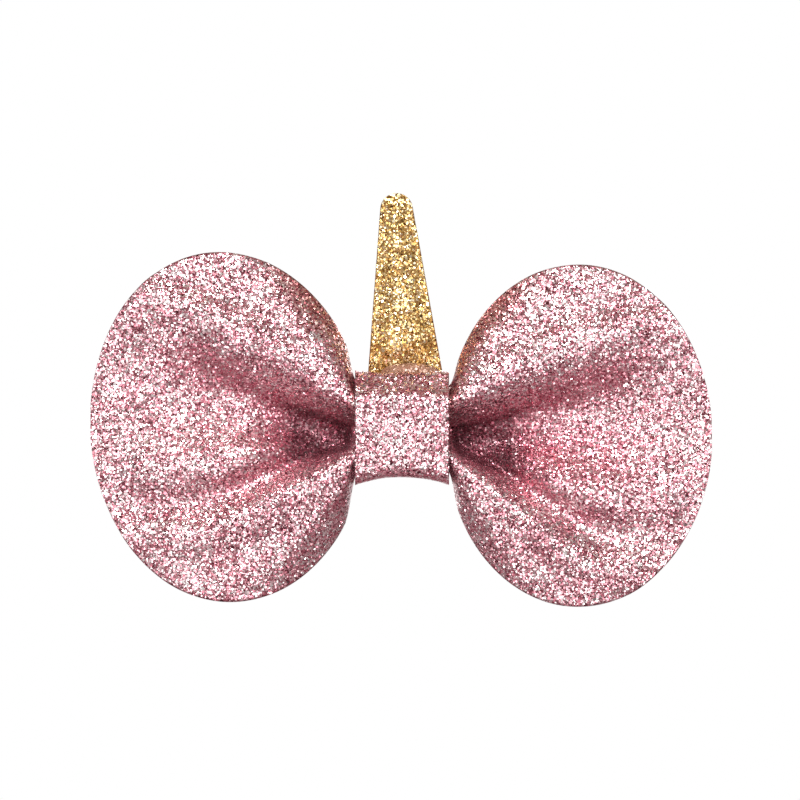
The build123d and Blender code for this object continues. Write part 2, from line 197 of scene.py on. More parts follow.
def painted_fold_shade(x, z):
    """Painted shade where the cloth lies deep in a fold and sees little light, 0 to 1."""
    u = np.abs(x)
    lines = line_heights(x)
    groove = lines[2] + 0.6
    climb = np.where(x < 0, 0.40, 0.50) * np.clip((u - WAIST_REACH) / 25, 0, 1)
    wall = mix(lines[4], lines[5], climb) - 0.6 * (1 - ramp(u, 10, 24))
    main = np.exp(-(((z - wall) / (0.8 + 0.07 * u)) ** 2)) * (1 - ramp(u, 28, 44))
    second = np.exp(-(((z - groove) / 1.5) ** 2)) * ramp(u, 9, 15) * (1 - ramp(u, 26, 38))
    between = (lines[3] + lines[4]) / 2
    dip = np.exp(-(((z - between) / 6) ** 2)) * ramp(u, 14, 24) * (1 - ramp(u, 34, 48))
    floor_shade = np.where(x < 0, LEFT_FLOOR_SHADE, RIGHT_FLOOR_SHADE)
    creases = WALL_SHADE * main + GROOVE_SHADE * second + floor_shade * dip
    return np.clip(PIT_SHADE * pinch(x, z) + creases, 0, 1)


def painted_warm_reflection(x, z):
    """Painted warm reflection where the wings' top edges roll back beside the knot and mirror the warm
    ceiling, 0 to 1.
    """
    u = np.abs(x)
    high = np.where(x < 0, wing_edges(-1, u)[1], wing_edges(1, u)[1])
    return np.exp(-(((z - high) / 4.5) ** 2)) * (1 - ramp(u, 14, 26))


def worn(x, z):
    """Small unevenness of the real cloth: pleats near the knot, soft dents, a rim that isn't flat."""
    u = np.abs(x)
    out = ramp(u, WAIST_REACH + 0.6, 17)
    spread = np.arctan2(z, u)
    pleats = np.sin(13 * spread + 1.3 * np.sign(x)) + 0.6 * np.sin(23 * spread + 2.0)
    pleated = PLEAT_DEPTH * pleats * (1 - ramp(u, 14, 38))
    dented = DENT_DEPTH * waves(x, z, 11) * ramp(u, 10, 26)
    return out * (pleated + dented)


def cloth_grid(out, columns, rows):
    """Front-view grid of cloth points, moved out along the cloth's own normal."""
    x = columns[:, None] + 0 * rows[None, :]
    edges = [wing_edges(side, np.abs(columns)) for side in (-1, 1)]
    low = np.where(columns < 0, edges[0][0], edges[1][0])[:, None]
    high = np.where(columns < 0, edges[0][1], edges[1][1])[:, None]
    z = mix(low, high, rows[None, :])

    def height(a, b):
        return depth(a, b) + settled(a, b) + worn(a, b)

    step = 0.04
    slope_x = (height(x + step, z) - height(x - step, z)) / (2 * step)
    slope_z = (height(x, z + step) - height(x, z - step)) / (2 * step)
    share = out / np.sqrt(1 + slope_z**2 + np.clip(slope_x, -1, 1) ** 2)
    y = CLOTH_MIDDLE - height(x, z) - share
    return np.stack([x - share * np.clip(slope_x, -1, 1), y, z - share * slope_z], axis=-1)


def cloth_columns(quarter=40):
    """X of the cloth grid's columns, closest together where the outline is steep."""
    turns = np.linspace(0, PI / 2, quarter + 1)
    sides = {}
    for side, wing in WINGS.items():
        inner = mix(wing["x"], WAIST_REACH, np.cos(turns[:-1]))
        outer = wing["x"] + (wing["outer"] - TIP_FLAT) * np.sin(turns)
        sides[side] = np.concatenate([inner, outer])
    waist = np.linspace(-WAIST_REACH, WAIST_REACH, 13)[1:-1]
    return np.concatenate([-sides[-1][::-1], waist, sides[1]])


# ---- mesh helpers -------------------------------------------------------------------------------
def add_mesh(name, points, faces, slots, face_slots=None, smooth=True):
    """A mesh object from points in millimetres, with one material per slot index."""
    mesh = bpy.data.meshes.new(name)
    mesh.from_pydata([tuple(p) for p in np.asarray(points) * MM], [], faces)
    for material in slots:
        mesh.materials.append(material)
    if face_slots is not None:
        mesh.polygons.foreach_set("material_index", np.asarray(face_slots, dtype=np.int32))
    mesh.polygons.foreach_set("use_smooth", [smooth] * len(mesh.polygons))
    mesh.validate()
    outward = bmesh.new()
    outward.from_mesh(mesh)
    bmesh.ops.recalc_face_normals(outward, faces=outward.faces)
    outward.to_mesh(mesh)
    outward.free()
    piece = bpy.data.objects.new(name, mesh)
    bpy.context.scene.collection.objects.link(piece)
    return piece


def grid_faces(columns, rows, start, flip):
    """Quads of a grid whose points are stored column by column from index start."""
    i, j = np.meshgrid(np.arange(columns - 1), np.arange(rows - 1), indexing="ij")
    a = start + i * rows + j
    quads = np.stack([a, a + rows, a + rows + 1, a + 1], axis=-1).reshape(-1, 4)
    return quads[:, ::-1] if flip else quads


def sheet_mesh(name, front, back, slots, rim_rounds=0.0):
    """A closed sheet between two grids of points: slot 0 in front, 1 behind, 2 on the cut edge."""
    columns, rows = front.shape[:2]
    count = columns * rows
    points = [front.reshape(-1, 3), back.reshape(-1, 3)]
    around = [(i, 0) for i in range(columns)] + [(columns - 1, j) for j in range(1, rows)]
    around += [(i, rows - 1) for i in range(columns - 2, -1, -1)] + [(0, j) for j in range(rows - 2, 0, -1)]
    ring = np.array([i * rows + j for i, j in around])
    faces = [grid_faces(columns, rows, 0, False), grid_faces(columns, rows, count, True)]
    after = np.roll(ring, -1)
    if rim_rounds:
        middle = (points[0][ring] + points[1][ring]) / 2
        along = points[0][after] - points[0][np.roll(ring, 1)]
        outward = np.cross(points[0][ring] - points[1][ring], along)
        outward /= np.linalg.norm(outward, axis=1, keepdims=True) + 1e-9
        points.append(middle + outward * rim_rounds)
        edge = 2 * count + np.arange(len(ring))
        next_edge = np.roll(edge, -1)
        faces.append(np.stack([ring, edge, next_edge, after], axis=-1))
        faces.append(np.stack([edge, ring + count, after + count, next_edge], axis=-1))
    else:
        faces.append(np.stack([ring, ring + count, after + count, after], axis=-1))
    sides = [0, 1] + [2] * (len(faces) - 2)
    face_slots = np.concatenate([np.full(len(f), s) for f, s in zip(faces, sides)])
    return add_mesh(name, np.concatenate(points), np.concatenate(faces).tolist(), slots, face_slots)


def tube_mesh(name, path, radius, slots, around=10, twist=0.0, ply=0.0):
    """A round wire or thread along an open path, with flat ends. ply and twist give it strands."""
    path = np.asarray(path, dtype=float)
    tangent = np.gradient(path, axis=0)
    tangent /= np.linalg.norm(tangent, axis=1, keepdims=True)
    side = np.cross(tangent, (1.0, 0.013, 0.007))
    weak = np.linalg.norm(side, axis=1) < 0.3
    side[weak] = np.cross(tangent[weak], (0.0, 0.0, 1.0))
    side /= np.linalg.norm(side, axis=1, keepdims=True)
    up = np.cross(tangent, side)
    turn = np.linspace(0, 2 * PI, around, endpoint=False)
    run = np.concatenate([[0], np.cumsum(np.linalg.norm(np.diff(path, axis=0), axis=1))])
    size = radius * (1 + ply * np.cos(2 * (turn[None, :] - twist * run[:, None])))
    ring = side[:, None] * np.cos(turn)[None, :, None] + up[:, None] * np.sin(turn)[None, :, None]
    points = (path[:, None] + ring * size[..., None]).reshape(-1, 3)
    count = len(path)
    i, j = np.meshgrid(np.arange(count - 1), np.arange(around), indexing="ij")
    a, b = i * around + j, i * around + (j + 1) % around
    faces = np.stack([a, b, b + around, a + around], axis=-1).reshape(-1, 4).tolist()
    faces.append(list(range(around))[::-1])
    faces.append([(count - 1) * around + k for k in range(around)])
    return add_mesh(name, points, faces, slots)


def rounded_path(corners, radii, steps=8):
    """Points along a polyline in the YZ plane with its corners rounded."""
    points = [np.array(corners[0], dtype=float)]
    for before, corner, after, radius in zip(corners, corners[1:], corners[2:], radii):
        before, corner, after = (np.array(p, dtype=float) for p in (before, corner, after))
        into, onward = corner - before, after - corner
        into, onward = into / np.linalg.norm(into), onward / np.linalg.norm(onward)
        bend = math.acos(float(np.clip(into @ onward, -1, 1)))
        cut = radius * math.tan(bend / 2)
        start, end = corner - into * cut, corner + onward * cut
        for t in np.linspace(0, 1, steps + 1):
            points.append((1 - t) ** 2 * start + 2 * t * (1 - t) * corner + t**2 * end)
    points.append(np.array(corners[-1], dtype=float))
    return np.array(points)


def even_path(points, count):
    """The same path with its points spread evenly."""
    run = np.concatenate([[0], np.cumsum(np.linalg.norm(np.diff(points, axis=0), axis=1))])
    at = np.linspace(0, run[-1], count)
    return np.stack([np.interp(at, run, points[:, k]) for k in range(points.shape[1])], axis=-1)


def path_length(points):
    return float(np.linalg.norm(np.diff(points, axis=0), axis=1).sum())


def shade(piece, name, values):
    """Stores one number for each point of a piece, for its materials to read."""
    attribute = piece.data.attributes.new(name, "FLOAT", "POINT")
    attribute.data.foreach_set("value", np.clip(values, 0, 1).astype(np.float32))


def front_view(piece):
    """X and Z of a piece's points, in millimetres."""
    return np.array([v.co for v in piece.data.vertices])[:, ::2].T / MM


# ---- materials ----------------------------------------------------------------------------------
class Nodes:
    """Short ways to add and join shader nodes of one material."""

    def __init__(self, name):
        self.material = bpy.data.materials.new(name)
        self.material.use_nodes = True
        self.tree = self.material.node_tree
        self.tree.nodes.clear()

    def add(self, kind, inputs=None, **settings):
        node = self.tree.nodes.new("ShaderNode" + kind)
        for key, value in settings.items():
            setattr(node, key, value)
        for key, value in (inputs or {}).items():
            socket = node.inputs[key]
            if isinstance(value, bpy.types.NodeSocket):
                self.tree.links.new(value, socket)
            else:
                socket.default_value = value
        return node

    def maths(self, operation, a, b=0.0, clamp=False):
        node = self.add("Math", {0: a, 1: b}, operation=operation, use_clamp=clamp)
        return node.outputs[0]

    def vector(self, operation, a, b=None, scale=None):
        node = self.add("VectorMath", {0: a}, operation=operation)
        if b is not None:
            self.join(b, node.inputs[1])
        if scale is not None:
            self.join(scale, node.inputs["Scale"])
        return node.outputs[0]

    def join(self, value, socket):
        if isinstance(value, bpy.types.NodeSocket):
            self.tree.links.new(value, socket)
        else:
            socket.default_value = value

    def mixed(self, factor, a, b, blend="MIX"):
        node = self.add("Mix", data_type="RGBA", blend_type=blend)
        self.join(factor, node.inputs[0])
        self.join(a, node.inputs[6])
        self.join(b, node.inputs[7])
        return node.outputs[2]

    def stepped(self, value, stops, smooth=False):
        """A colour ramp: stops are (position, colour)."""
        node = self.add("ValToRGB", {0: value})
        node.color_ramp.interpolation = "LINEAR" if smooth else "CONSTANT"
        elements = node.color_ramp.elements
        while len(elements) < len(stops):
            elements.new(0.5)
        for element, (position, color) in zip(elements, stops):
            element.position = position
            element.color = (*color, 1.0)
        return node.outputs[0]

    def place(self):
        return self.add("TexCoord").outputs["Object"]

    def finish(self, shader):
        self.add("OutputMaterial", {"Surface": shader.outputs[0]})
        return self.material


FLAKE_LAYERS = (  # flake size, its radius in cells, share of cells that hold one, shift of the pattern
    (0.66, 0.58, 1.0, 0.37),
    (1.0, 0.52, 1.0, 0.0),
    (1.5, 0.50, 0.07, 0.71),
)
# how far painted shade and a painted warm reflection change the flakes' colour, and the reflection's tint
PAINTED_SHADE_SHARE, WARM_REFLECTION_SHARE = 0.85, 0.9
WARM_REFLECTION_TINT = (0.78, 0.54, 0.44, 1.0)


def glitter(
    name, palette, ground, painted_shade_color=(0.0, 0.0, 0.0), flake=0.40, mottle=0.6, metallic=0.85, rough=(0.18, 0.40)
):
    """Round metal flakes on dark adhesive: each has its own tint, lean and gloss, and a few stand up.

    Two point values paint shade and a warm reflection on it; the painted shade also takes away its coat. A
    piece without them has none of either.
    """
    n = Nodes(name)
    place = n.place()
    lean = chance = covered = crown = None
    for size, reach, share, shift in FLAKE_LAYERS:
        moved = n.vector("ADD", place, (shift, shift * 0.7, shift * 0.3))
        scale = 1 / (size * flake * MM)
        cell = n.add("TexVoronoi", {"Vector": moved, "Scale": scale}, feature="F1")
        own = n.add("TexWhiteNoise", {"Vector": cell.outputs["Position"]}).outputs["Value"]
        inside = n.maths("SUBTRACT", reach, cell.outputs["Distance"])
        present = n.maths("MULTIPLY", n.maths("GREATER_THAN", inside, 0.0), n.maths("LESS_THAN", own, share))
        drawn = n.maths("FRACT", n.maths("MULTIPLY", own, 7.31 / share))
        if covered is None:
            lean, chance, covered, crown = cell.outputs["Color"], drawn, present, inside
        else:
            lean = n.mixed(present, lean, cell.outputs["Color"])
            chance = n.mixed(present, chance, drawn)
            crown = n.mixed(present, crown, inside)
            covered = n.maths("MAXIMUM", covered, present)

    cloud = n.add("TexNoise", {"Vector": place, "Scale": 190.0, "Detail": 3.0, "Roughness": 0.6})
    drift = n.maths("MULTIPLY", n.maths("SUBTRACT", cloud.outputs[0], 0.5), mottle)
    color = n.stepped(n.maths("ADD", chance, drift, clamp=True), palette)
    color = n.mixed(covered, (*ground, 1.0), color)
    # painted shade in the folds: towards the shade colour, and towards the dark adhesive where deepest
    painted_shade = n.add("Attribute", attribute_name="painted_shade").outputs["Fac"]
    painted_shade_mix = n.mixed(n.maths("POWER", painted_shade, 2.0), (*painted_shade_color, 1.0), (*ground, 1.0))
    color = n.mixed(n.maths("MULTIPLY", painted_shade, PAINTED_SHADE_SHARE), color, painted_shade_mix)

    # painted warm reflection on the wings' rolled back top edges
    warm_reflection = n.add("Attribute", attribute_name="painted_warm_reflection").outputs["Fac"]
    color = n.mixed(n.maths("MULTIPLY", warm_reflection, WARM_REFLECTION_SHARE), color, WARM_REFLECTION_TINT, blend="MULTIPLY")

    loose = n.maths("POWER", n.maths("FRACT", n.maths("MULTIPLY", chance, 3.71)), 3.0)
    tilt = n.maths("ADD", n.maths("MULTIPLY", loose, 1.6), 0.55)
    offset = n.vector("SUBTRACT", lean, (0.5, 0.5, 0.5))
    offset = n.vector("SCALE", offset, scale=tilt)
    surface = n.add("NewGeometry").outputs["Normal"]
    facing = n.vector("NORMALIZE", n.vector("ADD", surface, offset))
    edge = n.maths("MINIMUM", crown, 0.15)
    relief = n.add("Bump", {"Height": edge, "Distance": 0.05 * MM, "Strength": 0.4, "Normal": facing})

    gloss = n.maths("FRACT", n.maths("MULTIPLY", chance, 5.17))
    gloss = n.add("MapRange", {"Value": gloss, "To Min": rough[0], "To Max": rough[1]})
    shine = n.maths("MULTIPLY", covered, metallic)
    shader = n.add(
        "BsdfPrincipled",
        {
            "Base Color": color,
            "Metallic": shine,
            "Roughness": gloss.outputs[0],
            "Normal": relief.outputs[0],
            "Coat Weight": n.maths("MULTIPLY", n.maths("SUBTRACT", 1.0, painted_shade), 0.35),
            "Coat Roughness": 0.16,
            "Coat Normal": relief.outputs[0],
        },
    )
    return n.finish(shader)


def woven(name, color, dark, thread=0.28, sheen=0.3):
    """Plain weave: two sets of raised threads, uneven in tint."""
    n = Nodes(name)
    place = n.place()
    split = n.add("SeparateXYZ", {0: place})
    pace = PI / (thread * MM)
    warp = n.maths("SINE", n.maths("MULTIPLY", split.outputs["X"], pace))
    weft = n.maths("SINE", n.maths("MULTIPLY", split.outputs["Z"], pace))
    height = n.maths("ABSOLUTE", n.maths("MULTIPLY", warp, weft))
    cloud = n.add("TexNoise", {"Vector": place, "Scale": 220.0, "Detail": 4.0})
    slub = n.add("TexNoise", {"Vector": place, "Scale": 2600.0, "Detail": 3.0})
    shade = n.maths("ADD", n.maths("MULTIPLY", height, 0.55), n.maths("MULTIPLY", cloud.outputs[0], 0.5))
    tint = n.mixed(n.maths("MULTIPLY", shade, 1.0, clamp=True), (*dark, 1.0), (*color, 1.0))
    tall = n.maths("ADD", height, n.maths("MULTIPLY", slub.outputs[0], 0.6))
    relief = n.add("Bump", {"Height": tall, "Distance": 0.08 * MM, "Strength": 0.7})
    inputs = {"Base Color": tint, "Roughness": 0.85, "Normal": relief.outputs[0], "Sheen Weight": sheen}
    return n.finish(n.add("BsdfPrincipled", inputs))


def cut_edge(name, color, dark):
    """Frayed edge where cloth and glitter are cut through."""
    n = Nodes(name)
    place = n.place()
    fray = n.add("TexNoise", {"Vector": place, "Scale": 3200.0, "Detail": 3.0})
    tint = n.mixed(fray.outputs[0], (*dark, 1.0), (*color, 1.0))
    relief = n.add("Bump", {"Height": fray.outputs[0], "Distance": 0.1 * MM, "Strength": 0.8})
    inputs = {"Base Color": tint, "Roughness": 0.8, "Normal": relief.outputs[0], "Sheen Weight": 0.2}
    return n.finish(n.add("BsdfPrincipled", inputs))


def glue(name, color):
    """Cloudy hot melt glue with soft ripples."""
    n = Nodes(name)
    place = n.place()
    cloud = n.add("TexNoise", {"Vector": place, "Scale": 700.0, "Detail": 3.0})
    ripple = n.add("TexNoise", {"Vector": place, "Scale": 1500.0, "Detail": 2.0})
    darker = tuple(c * 0.72 for c in color)
    tint = n.mixed(cloud.outputs[0], (*darker, 1.0), (*color, 1.0))
    relief = n.add("Bump", {"Height": ripple.outputs[0], "Distance": 0.12 * MM, "Strength": 0.6})
    inputs = {
        "Base Color": tint,
        "Roughness": 0.42,
        "Normal": relief.outputs[0],
        "Subsurface Weight": 0.25,
        "Subsurface Radius": (0.0012, 0.0008, 0.0006),
    }
    return n.finish(n.add("BsdfPrincipled", inputs))


def steel(name, color, rough, streak):
    """Plated steel with fine rolling streaks, small pits and duller handled spots."""
    n = Nodes(name)
    place = n.place()
    stretched = n.vector("MULTIPLY", place, streak)
    lines = n.add("TexNoise", {"Vector": stretched, "Scale": 1.0, "Detail": 4.0})
    smudge = n.add("TexNoise", {"Vector": place, "Scale": 260.0, "Detail": 3.0})
    pits = n.add("TexVoronoi", {"Vector": place, "Scale": 1500.0}, feature="F1")
    gloss = n.add("MapRange", {"Value": smudge.outputs[0], "To Min": rough * 0.7, "To Max": rough * 1.7})
    darker = tuple(c * 0.8 for c in color)
    tint = n.mixed(smudge.outputs[0], (*darker, 1.0), (*color, 1.0))
    pit = n.maths("MINIMUM", n.maths("MULTIPLY", pits.outputs["Distance"], 4.0), 1.0)
    height = n.maths("ADD", n.maths("MULTIPLY", lines.outputs[0], 0.5), n.maths("MULTIPLY", pit, 0.5))
    relief = n.add("Bump", {"Height": height, "Distance": 0.01 * MM, "Strength": 0.5})
    inputs = {
        "Base Color": tint, "Metallic": 1.0, "Roughness": gloss.outputs[0], "Normal": relief.outputs[0],
    }
    return n.finish(n.add("BsdfPrincipled", inputs))


def fibre(name, color, dark, scale=2400.0, sheen=0.5):
    """Thread, ribbon and wadding: fine fibres with a soft sheen."""
    n = Nodes(name)
    place = n.place()
    strands = n.add("TexNoise", {"Vector": place, "Scale": scale, "Detail": 5.0, "Distortion": 0.8})
    cloud = n.add("TexNoise", {"Vector": place, "Scale": 300.0, "Detail": 2.0})
    share = n.maths("MULTIPLY", n.maths("ADD", strands.outputs[0], cloud.outputs[0]), 0.55, clamp=True)
    tint = n.mixed(share, (*dark, 1.0), (*color, 1.0))
    relief = n.add("Bump", {"Height": strands.outputs[0], "Distance": 0.05 * MM, "Strength": 0.6})
    inputs = {
        "Base Color": tint, "Roughness": 0.6, "Normal": relief.outputs[0],
        "Sheen Weight": sheen, "Sheen Roughness": 0.4,
    }
    return n.finish(n.add("BsdfPrincipled", inputs))


PINK_FLAKES = [
    (0.00, (0.95, 0.90, 0.89)),
    (0.16, (0.88, 0.61, 0.64)),
    (0.38, (0.80, 0.41, 0.46)),
    (0.64, (0.68, 0.24, 0.30)),
    (0.85, (0.42, 0.36, 0.36)),
    (0.92, (0.20, 0.05, 0.07)),
]
GOLD_FLAKES = [
    (0.00, (0.95, 0.87, 0.60)),
    (0.16, (0.84, 0.65, 0.30)),
    (0.42, (0.70, 0.46, 0.15)),
    (0.66, (0.52, 0.29, 0.07)),
    (0.86, (0.24, 0.12, 0.03)),
]
STAINED_FLAKES = [
    (0.00, (0.80, 0.58, 0.46)),
    (0.10, (0.46, 0.26, 0.18)),
    (0.50, (0.36, 0.18, 0.12)),
    (0.80, (0.26, 0.12, 0.07)),
]
# after the flake colours come the adhesive's colour and the colour of the painted shade
pink_glitter = glitter("pink_glitter_cloth", PINK_FLAKES, (0.13, 0.02, 0.035), (0.56, 0.10, 0.16))
gold_glitter = glitter(
    "gold_glitter_cloth", GOLD_FLAKES, (0.26, 0.12, 0.015), (0.36, 0.15, 0.025), mottle=0.9
)
pink_backing = woven("pink_backing_weave", (0.74, 0.36, 0.44), (0.55, 0.22, 0.30))
gold_backing = woven("gold_backing_weave", (0.66, 0.50, 0.24), (0.46, 0.32, 0.13))
pink_cut = cut_edge("pink_cut_edge", (0.78, 0.50, 0.50), (0.48, 0.24, 0.25))
gold_cut = cut_edge("gold_cut_edge", (0.78, 0.58, 0.26), (0.42, 0.26, 0.10))
melt_glue = glue("hot_melt_glue", (0.80, 0.62, 0.55))
bead_glue = glitter(
    "glitter_stained_glue", STAINED_FLAKES, (0.26, 0.12, 0.07), flake=0.55, metallic=0.2, rough=(0.3, 0.5)
)
pink_thread = fibre("waxed_thread", (0.66, 0.22, 0.34), (0.42, 0.12, 0.20))
ribbon_cloth = fibre("grosgrain_cloth", (0.80, 0.36, 0.48), (0.58, 0.20, 0.30), sheen=0.35)
wadding = fibre("polyester_wadding", (0.88, 0.87, 0.84), (0.72, 0.71, 0.68), scale=1400.0)
clip_steel = steel("nickel_plated_steel", (0.72, 0.71, 0.70), 0.32, (120.0, 2600.0, 2600.0))
wire_steel = steel("spring_wire_steel", (0.60, 0.60, 0.61), 0.22, (900.0, 900.0, 200.0))


# ---- bow cloth ----------------------------------------------------------------------------------
columns = cloth_columns()
rows = np.linspace(0, 1, 121)
bow = sheet_mesh(
    "bow_cloth",
    cloth_grid(SHEET / 2, columns, rows),
    cloth_grid(-SHEET / 2, columns, rows),
    [pink_glitter, pink_backing, pink_cut],
    rim_rounds=0.06,
)
# painted shade in the folds, and a painted warm reflection on the wings' top edges beside the knot
shade(bow, "painted_shade", painted_fold_shade(*front_view(bow)))
shade(bow, "painted_warm_reflection", painted_warm_reflection(*front_view(bow)))
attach(bow, "bow")
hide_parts("bow_sheet")


# ---- centre band --------------------------------------------------------------------------------
BAND_HALF = 7.7
BAND_CLOTH = 0.8
BAND_FLARE, BAND_TIGHT = 0.42, 0.10  # how far its cut edges stand off and its middle is drawn in
BAND_DENTS, BAND_ARCH = 0.10, 0.9  # unevenness, and how far its lower edge is arched
BAND_CORNERS = [
    (-4.9, -5.0), (-4.9, 8.6), (-9.1, 8.6), (-12.5, 4.8), (-12.5, -8.8), (-3.9, -8.8), (-3.9, 5.0),
]
path = even_path(rounded_path(BAND_CORNERS, (1.0, 1.4, 1.6, 1.9, 1.1)), 190)
across = np.linspace(-1, 1, 49)
run = np.gradient(path, axis=0)
run /= np.linalg.norm(run, axis=1, keepdims=True)
out_y, out_z = -run[:, 1], run[:, 0]


def band_grid(out):
    """The wrapped strip, tight in the middle and flaring a little at its two cut edges."""
    x = across[None, :] * BAND_HALF
    free = ramp(-path[:, 0], 5.2, 8.5)[:, None]
    flare = free * (BAND_FLARE * np.abs(across[None, :]) ** 2.4 - BAND_TIGHT)
    dents = free * BAND_DENTS * waves(x, path[:, 1][:, None] - path[:, 0][:, None], 5, low=0.06, high=0.2)
    move = -(out + flare + dents)
    arch = BAND_ARCH * ramp(-path[:, 1], 4.0, 8.6)[:, None] * (1 - across[None, :] ** 2)
    y = path[:, 0][:, None] + move * out_y[:, None]
    z = path[:, 1][:, None] + move * out_z[:, None] + arch
    return np.stack([x + 0 * y, y, z], axis=-1)


band = sheet_mesh(
    "knot_band", band_grid(BAND_CLOTH / 2), band_grid(-BAND_CLOTH / 2),
    [pink_glitter, pink_backing, pink_cut], rim_rounds=0.06,
)
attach(band, "bow")
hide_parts("center_band")

# ---- horn ---------------------------------------------------------------------------------------
HORN_TIP_X, HORN_TIP_Z, HORN_TIP_RADIUS = -0.9, 35.9, 2.7
HORN_FOOT_Z, HORN_ROOT_Z = -4.0, 9.0
HORN_FOOT_X = {-1: -5.6, 1: 6.7}
HORN_CLOTH, HORN_CROWN, HORN_HEM, HORN_CROWN_Z = 0.7, 0.8, 1.3, 10.8
HORN_SEAM = -2.6  # Y where the two cloths meet
HORN_DENTS = 0.07
# painted shade at the horn's root: its strength, its unevenness, and the heights where it starts and ends
# fading upwards
ROOT_SHADE, ROOT_SHADE_PATCHES, ROOT_SHADE_LOW_Z, ROOT_SHADE_HIGH_Z = 0.66, 0.5, 9.5, 19.0


def horn_edge(side, z):
    """X of the horn's left (-1) or right (1) edge: upright foot, straight side, round tip."""
    foot_x = HORN_FOOT_X[side]
    across, up = foot_x - HORN_TIP_X, HORN_ROOT_Z - HORN_TIP_Z
    touch = math.atan2(up, across) + side * math.acos(HORN_TIP_RADIUS / math.hypot(across, up))
    touch_x = HORN_TIP_X + HORN_TIP_RADIUS * math.cos(touch)
    touch_z = HORN_TIP_Z + HORN_TIP_RADIUS * math.sin(touch)
    straight = mix(foot_x, touch_x, (z - HORN_ROOT_Z) / (touch_z - HORN_ROOT_Z))
    tip = HORN_TIP_X + side * np.sqrt(np.maximum(0.0, HORN_TIP_RADIUS**2 - (z - HORN_TIP_Z) ** 2))
    return np.where(z < HORN_ROOT_Z, foot_x, np.where(z < touch_z, straight, tip))


def horn_rows(low, inset):
    """Heights of the rows of points, closer together round the tip."""
    tip = HORN_TIP_Z + (HORN_TIP_RADIUS - inset) * np.sin(np.linspace(0.1, 1.5, 14))
    return np.concatenate([np.linspace(low, HORN_TIP_Z, 80), tip])


def horn_grid(low, inset, raised, y):
    """Front-view grid over the horn, cut back by inset; raised is the share of the crown's height."""
    z = horn_rows(low, inset)[None, :]
    left, right = horn_edge(-1, z) + inset, horn_edge(1, z) - inset
    x = mix(left, right, np.linspace(0, 1, 33)[:, None])
    rim = np.minimum(x - horn_edge(-1, z), horn_edge(1, z) - x)
    tip = HORN_TIP_RADIUS - np.hypot(x - HORN_TIP_X, z - HORN_TIP_Z)
    rim = np.where(z > HORN_TIP_Z, tip, rim)
    crown = HORN_CROWN * ramp(rim, 0.2, 3.6) * ramp(z, HORN_CROWN_Z - 1.0, HORN_CROWN_Z + 3.0)
    dents = HORN_DENTS * waves(x, z, 23, low=0.05, high=0.14) * ramp(z, HORN_ROOT_Z, HORN_ROOT_Z + 4)
    return np.stack([x, y - raised * (crown + dents) + 0 * x, z + 0 * x], axis=-1)


horn_front = sheet_mesh(
    "horn_front_cloth",
    horn_grid(HORN_FOOT_Z, 0.0, 1.0, HORN_SEAM - HORN_CLOTH),
    horn_grid(HORN_FOOT_Z, 0.0, 1.0, HORN_SEAM - 0.01),
    [gold_glitter, gold_backing, gold_cut],
    rim_rounds=0.05,
)
horn_back = sheet_mesh(
    "horn_back_cloth",
    horn_grid(HORN_FOOT_Z, 0.0, 0.0, HORN_SEAM + 0.01),
    horn_grid(HORN_FOOT_Z, 0.0, 0.0, HORN_SEAM + HORN_CLOTH),
    [gold_glitter, gold_backing, gold_cut],
    rim_rounds=0.05,
)
horn_fill = sheet_mesh(
    "horn_fill",
    horn_grid(HORN_CROWN_Z, HORN_HEM, 0.9, HORN_SEAM - 0.03),
    horn_grid(HORN_CROWN_Z, HORN_HEM, 0.0, HORN_SEAM),
    [wadding, wadding, wadding],
)
horn_x, horn_z = front_view(horn_front)
# painted shade at the horn's root, patchy, fading out upwards
patches = ROOT_SHADE + ROOT_SHADE_PATCHES * waves(horn_x, horn_z, 41, low=0.10, high=0.30)
shade(horn_front, "painted_shade", (1 - ramp(horn_z, ROOT_SHADE_LOW_Z, ROOT_SHADE_HIGH_Z)) * patches)
for piece, node, slot in (
    (horn_front, "horn_front", "gold_glitter"),
    (horn_back, "horn_back", "gold_backing"),
    (horn_fill, "horn_padding", "polyester_wadding"),
):
    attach(piece, "bow")
    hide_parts(node)


# ---- horn root glue -----------------------------------------------------------------------------
BEAD_X, BEAD_HALF, BEAD_FOOT_Z, BEAD_HEIGHT, BEAD_FORWARD = 1.4, 4.9, 8.85, 1.75, 2.3
bead_across = np.linspace(-1, 1, 41)[:, None]
bead_up = np.sin(np.linspace(0, PI / 2, 13))[None, :]
bead_top = np.sqrt(1 - 0.97 * bead_across**2)


def bead_grid(forward):
    """Front-view grid of the squeezed-out bead, a low hump that rests on the band's top."""
    x = BEAD_X + BEAD_HALF * bead_across + 0 * bead_up
    z = BEAD_FOOT_Z + BEAD_HEIGHT * bead_top * bead_up
    lumps = 1 + 0.10 * waves(x, z, 31, low=0.15, high=0.5)
    bulge = forward * BEAD_FORWARD * bead_top * np.sqrt(1 - 0.98 * bead_up**2) * lumps
    return np.stack([x, HORN_SEAM - HORN_CLOTH - bulge, z], axis=-1)


bead = sheet_mesh("horn_root_bead", bead_grid(1), bead_grid(0), [bead_glue] * 3)
FILM_HALF, FILM_LOW_Z, FILM_HIGH_Z = 5.2, -3.5, 6.5
film_x = np.linspace(-FILM_HALF, FILM_HALF, 15)[:, None]
film_z = np.linspace(FILM_LOW_Z, FILM_HIGH_Z, 15)[None, :]
film_grid = [
    np.stack([film_x + 0 * film_z, y + 0.02 * waves(film_x, film_z, 37), film_z + 0 * film_x], axis=-1)
    for y in (HORN_SEAM - HORN_CLOTH - 0.17, HORN_SEAM - HORN_CLOTH - 0.03)
]
film = sheet_mesh("horn_root_film", film_grid[0], film_grid[1], [melt_glue] * 3)
for piece in (bead, film):
    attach(piece, "bow")
    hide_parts("horn_root_glue")


